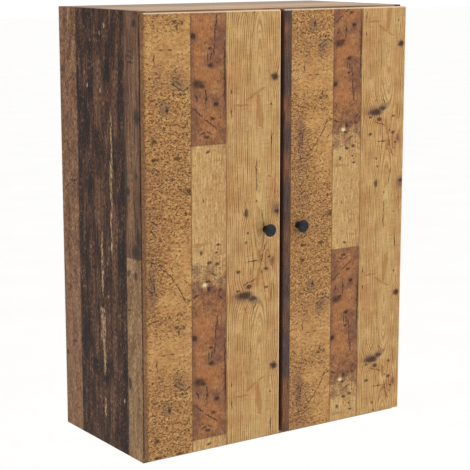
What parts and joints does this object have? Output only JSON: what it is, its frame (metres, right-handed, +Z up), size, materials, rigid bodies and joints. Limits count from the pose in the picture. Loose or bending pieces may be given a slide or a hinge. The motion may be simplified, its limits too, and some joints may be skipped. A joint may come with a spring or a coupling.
{
  "type": "hanging wall cabinet",
  "caption": "Wall-hung cabinet with two full-overlay doors on concealed cup hinges, round knobs, loose shelves on pins and a screw rail behind its back board.",
  "frame": {"origin": "middle of the two wall-screw holes, on the wall plane at the back of the cabinet", "axes": "+Z up, +Y into the wall, doors face -Y, +X to the right seen from the front"},
  "size_m": [0.65, 0.368, 0.9],
  "materials": {
    "door_decor": "printed old-wood laminate, satin",
    "carcass_decor": "printed dark old-wood laminate, satin",
    "board_plain": "plain laminate, satin",
    "back_board": "thin fibreboard with a plain printed face",
    "dowel_beech": "raw beech, fluted",
    "knob_black": "black powder coat, satin",
    "hinge_steel": "nickel-plated pressed steel",
    "fitting_nickel": "nickel plate",
    "cam_zinc": "die-cast zinc",
    "cap_brown": "matt",
    "buffer_clear": "soft translucent"
  },
  "bodies": {
    "cabinet": {"arm_pins": "fitting_nickel", "arm_screws": "fitting_nickel", "back_panel": "back_board", "bottom_panel": "carcass_decor", "cam_bolts": "fitting_nickel", "cam_caps": "cap_brown", "cam_locks": "cam_zinc", "dowels": "dowel_beech", "left_lower_hinge_arm": "hinge_steel", "left_lower_mounting_plate": "hinge_steel", "left_side_panel": "carcass_decor", "left_upper_hinge_arm": "hinge_steel", "left_upper_mounting_plate": "hinge_steel", "lower_shelf": "carcass_decor", "mounting_plate_screws": "fitting_nickel", "right_lower_hinge_arm": "hinge_steel", "right_lower_mounting_plate": "hinge_steel", "right_side_panel": "carcass_decor", "right_upper_hinge_arm": "hinge_steel", "right_upper_mounting_plate": "hinge_steel", "shelf_pins": "fitting_nickel", "top_panel": "carcass_decor", "upper_shelf": "carcass_decor", "wall_fixing_rail": "board_plain"},
    "left_links": {"left_lower_hinge_link": "hinge_steel", "left_upper_hinge_link": "hinge_steel"},
    "left_door": {"left_cup_pins": "fitting_nickel", "left_cup_screws": "fitting_nickel", "left_door_buffers": "buffer_clear", "left_door_panel": "door_decor", "left_knob": "knob_black", "left_knob_screw": "fitting_nickel", "left_lower_hinge_cup": "hinge_steel", "left_upper_hinge_cup": "hinge_steel"},
    "right_links": {"right_lower_hinge_link": "hinge_steel", "right_upper_hinge_link": "hinge_steel"},
    "right_door": {"right_cup_pins": "fitting_nickel", "right_cup_screws": "fitting_nickel", "right_door_buffers": "buffer_clear", "right_door_panel": "door_decor", "right_knob": "knob_black", "right_knob_screw": "fitting_nickel", "right_lower_hinge_cup": "hinge_steel", "right_upper_hinge_cup": "hinge_steel"}
  },
  "joints": [
    {"name": "left_link_swing", "type": "hinge", "parent": "cabinet", "child": "left_links", "pos_m": [-0.298, -0.32, -0.391], "axis": [0, 0, 1], "range_deg": [0, 40]},
    {"name": "left_door_swing", "type": "hinge", "parent": "left_links", "child": "left_door", "pos_m": [-0.315, -0.3315, -0.391], "axis": [0, 0, -1], "range_deg": [0, 140]},
    {"name": "right_link_swing", "type": "hinge", "parent": "cabinet", "child": "right_links", "pos_m": [0.298, -0.32, -0.391], "axis": [0, 0, -1], "range_deg": [0, 40]},
    {"name": "right_door_swing", "type": "hinge", "parent": "right_links", "child": "right_door", "pos_m": [0.315, -0.3315, -0.391], "axis": [0, 0, 1], "range_deg": [0, 140]}
  ],
  "couplings": [
    {"joint": "left_link_swing", "follows": "left_door_swing", "ratio": 0.28571},
    {"joint": "right_link_swing", "follows": "right_door_swing", "ratio": 0.28571}
  ]
}
